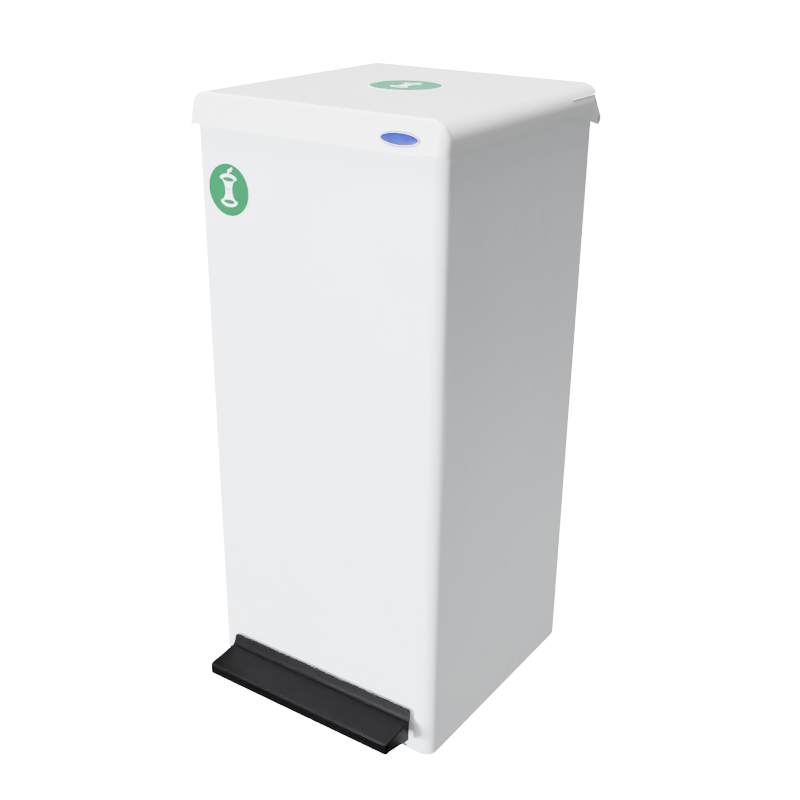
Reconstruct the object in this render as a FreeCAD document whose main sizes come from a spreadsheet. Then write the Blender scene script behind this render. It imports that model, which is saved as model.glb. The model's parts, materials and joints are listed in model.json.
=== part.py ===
import FreeCAD, Part

import math
import os
import re

import Sketcher

# Step-on waste bin of painted sheet steel: a tall body with a formed lid that hinges on a rod behind
# the back panel, a wide pedal under the front, and a lift rod at the back that joins the two.
# Millimetres. X is to the right seen from the front, Y runs to the back, and Z is up from the floor.
# Sizes are worked out about the middle of the body. row_shift then moves every sub-part along Y,
# so that the origin stands on the floor at the middle of the whole bin, pedal and hinge included.

DRIVING = {
    # how far a cutting shape runs past the metal, and how full a rounded end is
    "overcut": 1,
    "end_round": 0.98,
    # body
    "body_width": 368,
    "body_depth": 370,
    "body_top": 830,
    "foot_height": 3,
    "shell_wall": 1,
    "shell_corner": 17,
    "rear_return": 37,
    "leg_width": 41,
    "notch_top": 61,
    "notch_corner": 10,
    "leg_corner": 13,
    "pan_wall": 1.2,
    "pan_flange": 20,
    # rim that the lid closes over
    "rim_wall": 1.2,
    "rim_leg": 30,
    "rim_step": 7,
    "collar_rise": 10,
    "rim_notch_width": 56,
    # lid, with the places along its side flanges counted from the hinge
    "lid_rise": 18.4,
    "lid_overlap": 21.5,
    "lid_wall": 1.2,
    "lid_side_gap": 4,
    "lid_end_gap": 9.5,
    "lid_slope_inset": 10,
    "lid_corner": 14,
    "lid_roll": 9,
    "lid_opening_drop": 2,
    "arch_start_inset": 139.5,
    "arch_middle_inset": 97.5,
    "arch_end_inset": 53.5,
    "arch_rise": 4.5,
    "arch_radius": 170,
    "flange_end_inset": 27.5,
    "flange_lean": 9,
    "flange_drop": 7,
    "bumper_radius": 4,
    "bumper_inset": 54,
    # lid hinge
    "hinge_setback": 4.5,
    "hinge_drop": 28,
    "hinge_rod_radius": 3,
    "pin_play": 0.05,
    "ear_radius": 7.5,
    "ear_low_angle": 16,
    "ear_back_angle": 28,
    "arm_wall": 2,
    "arm_gap": 0.2,
    "arm_front_inset": 79.5,
    "arm_drop": 2.5,
    "hinge_bracket_inset": 42,
    "hinge_bracket_wall": 2,
    "hinge_bracket_foot": 24,
    "hinge_bracket_height": 22,
    "hinge_boss": 5.5,
    # pedal
    "pedal_overlap": 12,
    "pedal_reach": 62.5,
    "pedal_top": 51.5,
    "pedal_lip": 15.5,
    "pedal_cheek_drop": 10,
    "pedal_wall": 1.5,
    "pedal_lip_lean": 0.2,
    "pedal_rise": 6,
    "pedal_corner": 4,
    "pedal_gap": 7,
    "upstand_top": 71.5,
    "axle_inset": 60,
    "axle_height": 36,
    "axle_radius": 4,
    "pedal_arm_inset": 23,
    "pedal_arm_wall": 4,
    "pedal_arm_boss": 10,
    "pedal_arm_nose": 6,
    "pedal_arm_seat": 2,
    "pedal_arm_belly": 3,
    "pedal_arm_sweep": 40,
    "pedal_arm_neck": 10,
    "sleeve_wall": 3,
    "washer_radius": 9,
    "axle_bracket_wall": 3,
    "axle_bracket_depth": 30,
    "axle_bracket_foot": 17,
    "clip_wall": 1,
    "clip_radius": 7.5,
    "axle_stub": 4,
    # linkage
    "lid_range": 75,
    "pedal_range": 15,
    "lever_drop": 3,
    "lever_wall": 5,
    "lever_half_height": 12,
    "lever_tail": 5,
    "slot_play": 2,
    "slot_wander": 0.007,
    "rod_radius": 3,
    "rod_bend": 9,
    "rod_offset": 14,
    "rod_tail": 10,
    "rod_clip_radius": 6,
    "crank_wall": 3,
    "crank_boss": 8,
    "crank_width": 34,
    "crank_foot": 24,
    # liner and what carries it
    "shelf_height": 112,
    "shelf_flange": 15,
    "rod_room": 60,
    "liner_wall": 2.5,
    "liner_gap": 4,
    "liner_side_room": 8,
    "liner_drop": 32,
    "liner_lip": 5,
    "liner_corner": 15,
    # small pieces
    "rest_gap": 0.3,
    "foot_radius": 15,
    "foot_inset": 35,
    "rivet_radius": 4,
    "rivet_height": 1.4,
    "rivet_inset": 27,
    "pad_radius": 9,
    "pad_inset": 44,
    "decal_sheet": 0.3,
    "front_decal_radius": 34,
    "front_decal_inset": 53,
    "front_decal_drop": 98,
    "lid_decal_radius": 48,
    "lid_decal_back": 10,
    "badge_width": 54,
    "badge_height": 17,
    "badge_depth": 1.2,
    "badge_inset": 56,
    "badge_drop": 24.5,
}

DERIVED = {
    "half_width": "body_width / 2",
    "half_depth": "body_depth / 2",
    "inner_half_width": "half_width - shell_wall",
    "inner_half_depth": "half_depth - shell_wall",
    "inner_corner": "shell_corner - shell_wall",
    "back_inside": "inner_half_depth - shell_wall",
    "notch_half_width": "half_width - leg_width",
    "pan_top": "foot_height + pan_wall",
    "collar_top": "body_top + collar_rise",
    "collar_half_width": "inner_half_width - rim_step",
    "collar_front": "-inner_half_depth + rim_step",
    "collar_back": "back_inside - rim_step",
    "collar_corner": "inner_corner - rim_step / 2",
    "lid_top": "body_top + lid_rise",
    "lid_bottom": "body_top - lid_overlap",
    "lid_half_width": "half_width + lid_side_gap",
    "lid_half_depth": "half_depth + lid_end_gap",
    "lid_inside": "lid_top - lid_wall",
    "lid_lean": "atan(lid_slope_inset / (lid_top - lid_bottom)) / 1 deg",
    "arm_top": "lid_top - lid_roll - lid_wall - arm_drop",
    "arm_face": "lid_half_width - lid_wall - arm_gap",
    "hinge_y": "half_depth + hinge_setback",
    "hinge_height": "body_top - hinge_drop",
    "hinge_bracket_inner": "half_width - hinge_bracket_inset - hinge_bracket_wall",
    "flange_end": "hinge_y - flange_end_inset",
    "lid_lowest": "lid_bottom - flange_drop",
    "lid_opening_top": "lid_top - lid_roll - lid_wall - lid_opening_drop",
    "lid_opening_inner": "lid_half_width - lid_corner - shell_corner",
    "axle_y": "axle_inset - half_depth",
    "half_swing": "lid_range / 2",
    "lever_rise": "pedal_range - lever_drop",
    "crank_ratio": "(sin(lever_rise) + sin(lever_drop)) / (2 * sin(half_swing))",
    "lever_arm": "(hinge_y - axle_y) / (cos(lever_drop) + cos(half_swing) * crank_ratio)",
    "crank_radius": "lever_arm * crank_ratio",
    "rod_y": "hinge_y - crank_radius * cos(half_swing)",
    "rod_high": "hinge_height - crank_radius * sin(half_swing)",
    "rod_low": "axle_height - lever_arm * sin(lever_drop)",
    "slot_ahead": "crank_radius * (1 - cos(half_swing)) + rod_radius + slot_play",
    "slot_behind": "lever_arm * (cos(lever_drop) - cos(lever_rise)) + rod_radius + slot_play",
    "slot_half_height": "rod_radius + lever_arm * slot_wander + slot_play / 4",
    "pedal_half_width": "notch_half_width + pedal_overlap",
    "pedal_front": "-half_depth - pedal_reach",
    "pedal_back": "-half_depth - pedal_gap",
    "pedal_lip_bottom": "pedal_top - pedal_lip",
    "pedal_cheek_bottom": "pedal_lip_bottom - pedal_cheek_drop",
    "pedal_underside": "pedal_top - pedal_wall",
    "pedal_rear_top": "pedal_top + pedal_rise",
    "pedal_rear_underside": "pedal_underside + pedal_rise",
    "pedal_arm_inner": "notch_half_width - pedal_arm_inset - pedal_arm_wall / 2",
    "pedal_arm_outer": "pedal_arm_inner + pedal_arm_wall",
    "sleeve_radius": "axle_radius + sleeve_wall",
    "shelf_top": "shelf_height + pan_wall",
    "shelf_back": "back_inside - rod_room",
    "liner_top": "body_top - liner_drop",
    "liner_front": "-inner_half_depth + liner_side_room",
    "shelf_bottom": "shelf_height - shelf_flange",
    "shelf_bend": "-inner_half_depth + inner_corner",
    "liner_back": "shelf_back - pan_wall - liner_gap",
    "liner_half_width": "collar_half_width - rim_wall - liner_gap - liner_lip",
    "row_shift": "-(pedal_front + hinge_y + ear_radius) / 2",
}

SHEET = "sizes"
SIDES = {"left": -1, "right": 1}
SMALL = 1e-6
SHARP_JOIN = 1

doc = FreeCAD.newDocument("step_on_bin")
sheet = doc.addObject("Spreadsheet::Sheet", SHEET)
reader = doc.addObject("Spreadsheet::Sheet", "reader")
sub_parts = []


def fill_sheet():
    """Write the driving sizes as plain numbers and the derived ones as formulas, each with its alias."""
    for row, (alias, value) in enumerate({**DRIVING, **DERIVED}.items(), start=1):
        sheet.set(f"A{row}", alias)
        sheet.set(f"B{row}", f"={value}" if alias in DERIVED else str(value))
        sheet.setAlias(f"B{row}", alias)
    doc.recompute()


def on_sheet(expression):
    """Put the sheet's name before each alias, which is each word that is not a function."""
    return re.sub(r"\b([a-z]\w*)\b(?!\()", SHEET + r".\1", f"{expression}")


def number(expression):
    """Read what an expression comes to now, through a cell of a second sheet that nothing follows."""
    reader.set("A1", f"={on_sheet(expression)}")
    reader.recompute()
    return float(reader.get("A1"))


def bind(thing, path, expression):
    """Tie a property to the sheet."""
    thing.setExpression(path, on_sheet(expression))


def sub_part(thing, label, y="0", z="0", x="0"):
    """Name a sub-part and place it in the row's frame."""
    thing.Label = label
    bind(thing, "Placement.Base.x", x)
    bind(thing, "Placement.Base.y", f"row_shift + {y}")
    bind(thing, "Placement.Base.z", z)
    sub_parts.append(thing)
    return thing


def new_body(label, **place):
    return sub_part(doc.addObject("PartDesign::Body", label), label, **place)


def new_sketch(body, plane, offset):
    """Open a sketch on one of the body's own origin planes, moved along the plane's normal."""
    sketch = body.newObject("Sketcher::SketchObject", f"{body.Name}_sketch")
    origin_plane = [one for one in body.Origin.OriginFeatures if one.Role == f"{plane}_Plane"][0]
    sketch.AttachmentSupport = [(origin_plane, "")]
    sketch.MapMode = "FlatFace"
    bind(sketch, "AttachmentOffset.Base.z", offset)
    return sketch


def pin_point(sketch, geometry, point, across, up):
    """Fix a point of the sketch at two bound distances from the sketch's origin."""
    for kind, expression in (("DistanceX", across), ("DistanceY", up)):
        index = sketch.addConstraint(Sketcher.Constraint(kind, -1, 1, geometry, point, number(expression)))
        bind(sketch, f"Constraints[{index}]", expression)


def draw_outline(sketch, corners):
    """Draw a closed outline; a corner's third entry, where it has one, is its radius."""
    points = [FreeCAD.Vector(number(corner[0]), number(corner[1]), 0) for corner in corners]
    radii = [number(corner[2]) if len(corner) == 3 else 0 for corner in corners]
    count = len(corners)
    entries = []
    for i, here in enumerate(points):
        back = (points[i - 1] - here).normalize()
        ahead = (points[(i + 1) % count] - here).normalize()
        half_angle = back.getAngle(ahead) / 2
        reach = radii[i] / math.tan(half_angle)
        middle = (back + ahead).normalize() * radii[i] * (1 / math.sin(half_angle) - 1)
        entries.append((here + back * reach, here + middle, here + ahead * reach))
    lines = [
        sketch.addGeometry(Part.LineSegment(entries[i][2], entries[(i + 1) % count][0]))
        for i in range(count)
    ]
    for i, corner in enumerate(corners):
        before, after = lines[i - 1], lines[i]
        if not radii[i]:
            sketch.addConstraint(Sketcher.Constraint("Coincident", before, 2, after, 1))
            pin_point(sketch, after, 1, corner[0], corner[1])
            continue
        arc = sketch.addGeometry(Part.Arc(*entries[i]))
        starts_here = sketch.getPoint(arc, 1).distanceToPoint(entries[i][0]) < SMALL
        first, last = (1, 2) if starts_here else (2, 1)
        mark = sketch.addGeometry(Part.Point(points[i]), True)
        pin_point(sketch, mark, 1, corner[0], corner[1])
        sketch.addConstraint(Sketcher.Constraint("PointOnObject", mark, 1, before))
        sketch.addConstraint(Sketcher.Constraint("PointOnObject", mark, 1, after))
        sketch.addConstraint(Sketcher.Constraint("Tangent", before, 2, arc, first))
        sketch.addConstraint(Sketcher.Constraint("Tangent", arc, last, after, 1))
        radius = sketch.addConstraint(Sketcher.Constraint("Radius", arc, radii[i]))
        bind(sketch, f"Constraints[{radius}]", corner[2])


def draw_circle(sketch, across, up, radius):
    centre = FreeCAD.Vector(number(across), number(up), 0)
    circle = sketch.addGeometry(Part.Circle(centre, FreeCAD.Vector(0, 0, 1), number(radius)))
    pin_point(sketch, circle, 3, across, up)
    index = sketch.addConstraint(Sketcher.Constraint("Radius", circle, number(radius)))
    bind(sketch, f"Constraints[{index}]", radius)


def draw(sketch, shapes):
    """Draw circles, given as (across, up, radius), and outlines, given as lists of corners."""
    for shape in shapes:
        if isinstance(shape, tuple):
            draw_circle(sketch, *shape)
        else:
            draw_outline(sketch, shape)


def volume(body):
    doc.recompute()
    return body.Shape.Volume


def add(body, plane, shapes, low, high):
    """Pad shapes between two heights along X, Y or Z, whichever is across the plane."""
    sketch = new_sketch(body, plane, f"-({high})" if plane == "XZ" else low)
    draw(sketch, shapes)
    pad = body.newObject("PartDesign::Pad", f"{body.Name}_pad")
    pad.Profile = sketch
    bind(pad, "Length", f"{high} - ({low})")
    doc.recompute()


def cut(body, plane, shapes, low, high):
    """Pocket shapes between two heights along X, Y or Z, and make sure that something went."""
    before = volume(body)
    sketch = new_sketch(body, plane, f"-({low})" if plane == "XZ" else high)
    draw(sketch, shapes)
    pocket = body.newObject("PartDesign::Pocket", f"{body.Name}_pocket")
    pocket.Profile = sketch
    bind(pocket, "Length", f"{high} - ({low})")
    if volume(body) > before - SMALL:
        raise RuntimeError(f"a pocket of {body.Label} cuts nothing")


def round_edges(body, radius, chosen):
    """Fillet the edges whose lowest and highest points the test picks out."""
    names = []
    base = body.Tip
    for i, edge in enumerate(base.Shape.Edges, start=1):
        heights = [vertex.Z for vertex in edge.Vertexes]
        if chosen(min(heights), max(heights)):
            names.append(f"Edge{i}")
    fillet = body.newObject("PartDesign::Fillet", f"{body.Name}_fillet")
    fillet.Base = (base, names)
    bind(fillet, "Radius", radius)
    doc.recompute()


def box_outline(half_width, low, high, corner=None):
    """Rectangle across X from -half_width to half_width, rounded where a corner radius is given."""
    ends = [(f"-({half_width})", low), (half_width, low), (half_width, high), (f"-({half_width})", high)]
    return [(*end, corner) for end in ends] if corner else ends


def plate_outline(left, right, low, high):
    """Rectangle between two places across and two places along or up."""
    return [(left, low), (right, low), (right, high), (left, high)]


def ring(label, x, radius, bore, length, y, z):
    """A disc or tube round an axis along X, from x to x + length."""
    body = new_body(label)
    add(body, "YZ", [(y, z, radius)], x, f"{x} + {length}")
    if bore:
        cut(body, "YZ", [(y, z, bore)], x, f"{x} + {length}")
    return body


def side_range(sign, inner, length):
    """A stretch of X that starts at inner on either side and runs outwards."""
    outer = f"{inner} + {length}"
    return (inner, outer) if sign > 0 else (f"-({outer})", f"-({inner})")


# ---- body ----

def make_body_shell():
    """One sheet wrapped round the front, the sides and the rear corners, with the kick notch."""
    body = new_body("body_shell")
    add(body, "XY", [box_outline("half_width", "-half_depth", "half_depth", "shell_corner")],
        "foot_height", "body_top")
    hollow = box_outline("inner_half_width", "-inner_half_depth", "inner_half_depth", "inner_corner")
    cut(body, "XY", [hollow], "foot_height", "body_top")
    cut(body, "XZ", [box_outline("half_width - rear_return", "0", "body_top + overcut")],
        "0", "half_depth + overcut")
    notch = [
        ("-notch_half_width", "notch_top", "notch_corner"),
        ("-notch_half_width", "foot_height", "leg_corner"),
        ("-half_width + shell_corner / 2", "foot_height"),
        ("-half_width + shell_corner / 2", "-leg_corner"),
        ("half_width - shell_corner / 2", "-leg_corner"),
        ("half_width - shell_corner / 2", "foot_height"),
        ("notch_half_width", "foot_height", "leg_corner"),
        ("notch_half_width", "notch_top", "notch_corner"),
    ]
    cut(body, "XZ", [notch], "-half_depth - overcut", "-half_depth + shell_corner")


def make_back_panel():
    """Flat sheet behind the liner, lapped inside the shell's rear returns."""
    body = new_body("back_panel")
    add(body, "XZ", [box_outline("half_width - shell_corner", "foot_height", "body_top")],
        "back_inside", "inner_half_depth")


def make_top_rim():
    """Stepped frame inside the top of the body: a leg down the wall, a ledge and a collar."""
    body = new_body("top_rim")
    leg_bottom = "body_top - rim_leg"
    ledge = "body_top - rim_wall"
    inner = "inner_half_width - rim_wall"
    add(body, "XY", [box_outline("inner_half_width", "-inner_half_depth", "back_inside", "inner_corner")],
        leg_bottom, "body_top")
    add(body, "XY", [box_outline("collar_half_width", "collar_front", "collar_back", "collar_corner")],
        "body_top", "collar_top")
    cut(body, "XY", [box_outline(inner, "-inner_half_depth + rim_wall", "back_inside - rim_wall",
                                 "inner_corner - rim_wall")], leg_bottom, ledge)
    cut(body, "XY", [box_outline("collar_half_width - rim_wall", "collar_front + rim_wall",
                                 "collar_back - rim_wall", "collar_corner - rim_wall")], ledge, "collar_top")
    cut(body, "XY", [box_outline("rim_notch_width / 2", "0", "back_inside - rim_wall")],
        leg_bottom, "collar_top")


def make_base_pan():
    """Floor pan with flanges up the sides and the back, open at the kick notch."""
    body = new_body("base_pan")
    add(body, "XY", [box_outline("inner_half_width", "-inner_half_depth", "back_inside", "inner_corner")],
        "foot_height", "foot_height + pan_flange")
    cut(body, "XY", [box_outline("inner_half_width - pan_wall", "-inner_half_depth + pan_wall",
                                 "back_inside - pan_wall", "inner_corner - pan_wall")],
        "pan_top", "foot_height + pan_flange")
    cut(body, "XY", [box_outline("notch_half_width + leg_corner", "-half_depth", "0")],
        "pan_top", "foot_height + pan_flange")


def make_liner_shelf():
    """Shelf over the pedal mechanism that the liner stands on, open behind for the lift rod."""
    body = new_body("liner_shelf")
    narrow = "inner_half_width - inner_corner"
    add(body, "XZ", [box_outline("inner_half_width", "shelf_bottom", "shelf_top")], "shelf_bend", "shelf_back")
    add(body, "XZ", [box_outline(narrow, "shelf_bottom", "shelf_top")], "-inner_half_depth", "shelf_bend")
    cut(body, "XZ", [box_outline("inner_half_width - pan_wall", "0", "shelf_height")],
        "shelf_bend", "shelf_back")
    cut(body, "XZ", [box_outline(narrow, "0", "shelf_height")], "-inner_half_depth", "shelf_bend")
    stop = box_outline("inner_half_width - liner_side_room", "shelf_height", "shelf_top + shelf_flange")
    add(body, "XZ", [stop], "shelf_back - pan_wall", "shelf_back")


def make_inner_liner():
    """Rigid inner bucket with a turned-out lip."""
    body = new_body("inner_liner")
    add(body, "XY", [box_outline("liner_half_width", "liner_front", "liner_back", "liner_corner")],
        "shelf_top", "liner_top")
    add(body, "XY", [box_outline("liner_half_width + liner_lip", "liner_front - liner_lip",
                                 "liner_back + liner_lip", "liner_corner + liner_lip")],
        "liner_top - liner_wall", "liner_top")
    cut(body, "XY", [box_outline("liner_half_width - liner_wall", "liner_front + liner_wall",
                                 "liner_back - liner_wall", "liner_corner - liner_wall")],
        "shelf_top + liner_wall", "liner_top")


def make_feet():
    """Four low rubber feet under the floor pan."""
    for end, depth in (("front", -1), ("back", 1)):
        for side, sign in SIDES.items():
            body = new_body(f"foot_{end}_{side}")
            across = f"{sign} * (half_width - foot_inset)"
            along = f"{depth} * (half_depth - foot_inset)"
            add(body, "XY", [(across, along, "foot_radius")], "0", "foot_height")


def make_back_rivets():
    """Three rivet heads down each rear return."""
    for level, height in enumerate(("notch_top", "body_top / 2", "hinge_height - 2 * rivet_inset"), start=1):
        for side, sign in SIDES.items():
            body = new_body(f"back_rivet_{side}_{level}")
            across = f"{sign} * (half_width - rivet_inset)"
            add(body, "XZ", [(across, height, "rivet_radius")], "half_depth", "half_depth + rivet_height")


# ---- lid ----

def make_lid_shell():
    """Formed lid: a top with rolled edges and flanges, open below and at the rear corners."""
    body = new_body("lid_shell")
    spread = "lid_half_depth + flange_drop * tan(lid_lean)"
    add(body, "YZ", [[
        (f"-({spread})", "lid_lowest"),
        (spread, "lid_lowest"),
        ("lid_half_depth - lid_slope_inset", "lid_top"),
        ("-lid_half_depth + lid_slope_inset", "lid_top"),
    ]], "-lid_half_width", "lid_half_width")
    round_edges(body, "lid_corner", lambda low, high: high - low > number("lid_top - lid_bottom") - SMALL)
    round_edges(body, "lid_roll", lambda low, high: low > number("lid_top") - SMALL)
    solid = body.Tip
    faces = solid.Shape.Faces
    lowest = min(range(len(faces)), key=lambda i: faces[i].CenterOfMass.z)
    hollow = body.newObject("PartDesign::Thickness", "lid_hollow")
    hollow.Base = (solid, [f"Face{lowest + 1}"])
    hollow.Reversed = True
    hollow.Join = SHARP_JOIN
    bind(hollow, "Value", "lid_wall")
    doc.recompute()
    beyond = "lid_half_depth + flange_drop"
    below_edge = [
        (f"-({beyond})", "lid_bottom"),
        ("hinge_y - arch_start_inset", "lid_bottom", "arch_radius"),
        ("hinge_y - arch_middle_inset", "lid_bottom + arch_rise", "arch_radius"),
        ("hinge_y - arch_end_inset", "lid_bottom", "arch_radius"),
        ("flange_end", "lid_lowest"),
        ("flange_end", "lid_lowest - overcut"),
        (f"-({beyond})", "lid_lowest - overcut"),
    ]
    cut(body, "YZ", [below_edge], "-lid_half_width - overcut", "lid_half_width + overcut")
    cut(body, "XZ", [box_outline("lid_opening_inner", "lid_lowest - overcut", "lid_bottom")],
        "hinge_y - arch_end_inset", beyond)
    opening = [
        ("flange_end", "lid_lowest - overcut"),
        ("flange_end + flange_lean", "lid_opening_top"),
        (beyond, "lid_opening_top"),
        (beyond, "lid_lowest - overcut"),
    ]
    for sign in SIDES.values():
        stretch = side_range(sign, "lid_opening_inner", "lid_corner + shell_corner + overcut")
        cut(body, "YZ", [opening], *stretch)


def make_hinge_arms():
    """Arms inside the side flanges that carry the lid's hinge ears past the back of the body."""
    outline = [
        ("hinge_y - arm_front_inset", "arm_top"),
        ("hinge_y - arm_front_inset", "lid_bottom + arch_rise + arm_drop"),
        ("flange_end", "lid_lowest + arm_drop / 2"),
        ("hinge_y - ear_radius * sin(ear_low_angle)", "hinge_height - ear_radius * cos(ear_low_angle)"),
        ("hinge_y + ear_radius * cos(ear_back_angle)", "hinge_height + ear_radius * sin(ear_back_angle)"),
        ("flange_end + flange_lean + arm_drop", "arm_top"),
    ]
    for side, sign in SIDES.items():
        body = new_body(f"hinge_arm_{side}")
        stretch = side_range(sign, "arm_face - arm_wall", "arm_wall")
        add(body, "YZ", [outline], *stretch)
        add(body, "YZ", [("hinge_y", "hinge_height", "ear_radius")], *stretch)
        cut(body, "YZ", [("hinge_y", "hinge_height", "hinge_rod_radius + pin_play")], *stretch)


def make_lid_crank():
    """Bracket under the lid whose lower eye takes the top of the lift rod."""
    body = new_body("lid_crank")
    front = "rod_y - crank_width + crank_boss"
    outline = [
        (front, "lid_inside"),
        ("rod_y - crank_boss", "rod_high", "crank_boss"),
        ("rod_y - crank_boss / 2", "rod_high - crank_boss", "crank_boss / 2"),
        ("rod_y + crank_boss / 2", "rod_high - crank_boss", "crank_boss / 2"),
        ("rod_y + crank_boss", "rod_high", "crank_boss"),
        ("rod_y + crank_boss", "lid_inside"),
    ]
    add(body, "YZ", [outline], "-crank_wall / 2", "crank_wall / 2")
    foot = plate_outline("-crank_wall / 2", "crank_foot", front, "rod_y + crank_boss")
    add(body, "XY", [foot], "lid_inside - crank_wall", "lid_inside")
    cut(body, "YZ", [("rod_y", "rod_high", "rod_radius + pin_play")], "-crank_wall / 2", "crank_wall / 2")


def make_lid_bumpers():
    """Rubber buttons under the lid that land on the front of the collar."""
    for side, sign in SIDES.items():
        body = new_body(f"lid_bumper_{side}")
        across = f"{sign} * (half_width - bumper_inset)"
        add(body, "XY", [(across, "collar_front + bumper_radius", "bumper_radius")],
            "collar_top + rest_gap", "lid_inside")


def make_hinge_rod():
    """Rod along the back of the body that both ears turn on, and the two brackets that hold it."""
    ring("hinge_rod", "-arm_face", "hinge_rod_radius", None, "2 * arm_face", "hinge_y", "hinge_height")
    lug = [
        ("inner_half_depth", "hinge_height - hinge_boss"),
        ("hinge_y + hinge_boss", "hinge_height - hinge_boss", "hinge_boss * end_round"),
        ("hinge_y + hinge_boss", "hinge_height + hinge_boss", "hinge_boss * end_round"),
        ("inner_half_depth", "hinge_height + hinge_boss"),
    ]
    for side, sign in SIDES.items():
        body = new_body(f"hinge_bracket_{side}")
        stretch = side_range(sign, "hinge_bracket_inner", "hinge_bracket_wall")
        add(body, "YZ", [lug], *stretch)
        foot_ends = side_range(sign, "hinge_bracket_inner - hinge_bracket_foot", "hinge_bracket_foot")
        foot = plate_outline(*foot_ends, "hinge_height + hinge_boss - hinge_bracket_height",
                             "hinge_height + hinge_boss")
        add(body, "XZ", [foot], "inner_half_depth", "inner_half_depth + hinge_bracket_wall / 2")
        cut(body, "YZ", [("hinge_y", "hinge_height", "hinge_rod_radius")], *stretch)


# ---- pedal ----

def make_pedal_tread():
    """Formed tread: a top that falls to a front lip, deeper cheeks at both ends and a rear upstand."""
    body = new_body("pedal_tread")
    inner = "pedal_half_width - pedal_wall"
    plan = [
        ("-pedal_half_width", "pedal_back"),
        ("-pedal_half_width", "pedal_front", "pedal_corner"),
        ("pedal_half_width", "pedal_front", "pedal_corner"),
        ("pedal_half_width", "pedal_back"),
    ]
    inside = [
        (f"-({inner})", "pedal_back + overcut"),
        (f"-({inner})", "pedal_front + pedal_wall", "pedal_corner - pedal_wall"),
        (inner, "pedal_front + pedal_wall", "pedal_corner - pedal_wall"),
        (inner, "pedal_back + overcut"),
    ]
    add(body, "XY", [plan], "pedal_cheek_bottom", "pedal_rear_top")
    above_slope = [
        ("pedal_front", "pedal_top"),
        ("pedal_back", "pedal_rear_top"),
        ("pedal_front", "pedal_rear_top + overcut"),
    ]
    cut(body, "YZ", [above_slope], "-pedal_half_width - overcut", "pedal_half_width + overcut")
    cut(body, "XY", [inside], "pedal_cheek_bottom", "pedal_underside")
    below_slope = [
        ("pedal_front + pedal_wall", "pedal_underside - overcut"),
        ("pedal_front + pedal_wall", "pedal_underside"),
        ("pedal_back + overcut", "pedal_rear_underside"),
        ("pedal_back + overcut", "pedal_underside - overcut"),
    ]
    cut(body, "YZ", [below_slope], f"-({inner})", inner)
    below_edge = [
        ("pedal_front - overcut", "pedal_lip_bottom + pedal_lip_lean"),
        ("pedal_back - 2 * overcut", "pedal_cheek_bottom"),
        ("pedal_back", "pedal_lip_bottom"),
        ("pedal_back + overcut", "pedal_lip_bottom"),
        ("pedal_back + overcut", "pedal_cheek_bottom - overcut"),
        ("pedal_front - overcut", "pedal_cheek_bottom - overcut"),
    ]
    cut(body, "YZ", [below_edge], "-pedal_half_width - overcut", "pedal_half_width + overcut")
    upstand = [
        ("pedal_back - 2 * pedal_wall", "pedal_rear_underside"),
        ("pedal_back", "pedal_rear_underside"),
        ("pedal_back + 2 * pedal_wall", "upstand_top"),
        ("pedal_back + pedal_wall", "upstand_top"),
    ]
    add(body, "YZ", [upstand], "-pedal_half_width", "pedal_half_width")


def make_pedal_arms():
    """Two arms from the tread through the kick notch to the axle."""
    outline = [
        ("pedal_front + pedal_corner", "pedal_lip_bottom + pedal_arm_seat"),
        ("pedal_back", "axle_height - pedal_arm_boss + pedal_arm_belly", "pedal_arm_sweep"),
        ("axle_y", "axle_height - pedal_arm_boss - pedal_arm_belly", "pedal_arm_boss"),
        ("axle_y + pedal_arm_boss", "axle_height", "pedal_arm_nose"),
        ("axle_y", "axle_height + pedal_arm_boss", "pedal_arm_boss"),
        ("pedal_back + pedal_gap", "pedal_underside - pedal_arm_seat", "pedal_arm_neck"),
        ("pedal_back", "pedal_rear_underside"),
        ("pedal_front + pedal_corner", "pedal_underside"),
    ]
    for side, sign in SIDES.items():
        body = new_body(f"pedal_arm_{side}")
        stretch = side_range(sign, "pedal_arm_inner", "pedal_arm_wall")
        add(body, "YZ", [outline], *stretch)
        cut(body, "YZ", [("axle_y", "axle_height", "axle_radius + pin_play")], *stretch)


def make_pedal_lever():
    """Bar on edge from the axle sleeve back to the lift rod, with a slotted eye; it rests tilted."""
    body = new_body("pedal_lever", y="axle_y", z="axle_height")
    body.Placement.Rotation = FreeCAD.Rotation(FreeCAD.Vector(-1, 0, 0), number("lever_drop"))
    bind(body, "Placement.Rotation.Angle", "lever_drop")
    eye = "lever_arm + slot_behind + lever_half_height / 2"
    outline = [
        ("-sleeve_radius - lever_tail", "-lever_half_height", "lever_tail"),
        (eye, "-lever_half_height", "lever_half_height * end_round"),
        (eye, "lever_half_height", "lever_half_height * end_round"),
        ("-sleeve_radius - lever_tail", "lever_half_height", "lever_tail"),
    ]
    add(body, "YZ", [outline], "-lever_wall / 2", "lever_wall / 2")
    slot = [
        ("lever_arm - slot_ahead", "-slot_half_height", "slot_half_height * end_round"),
        ("lever_arm + slot_behind", "-slot_half_height", "slot_half_height * end_round"),
        ("lever_arm + slot_behind", "slot_half_height", "slot_half_height * end_round"),
        ("lever_arm - slot_ahead", "slot_half_height", "slot_half_height * end_round"),
    ]
    cut(body, "YZ", [("0", "0", "sleeve_radius"), slot], "-lever_wall / 2", "lever_wall / 2")


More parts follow.
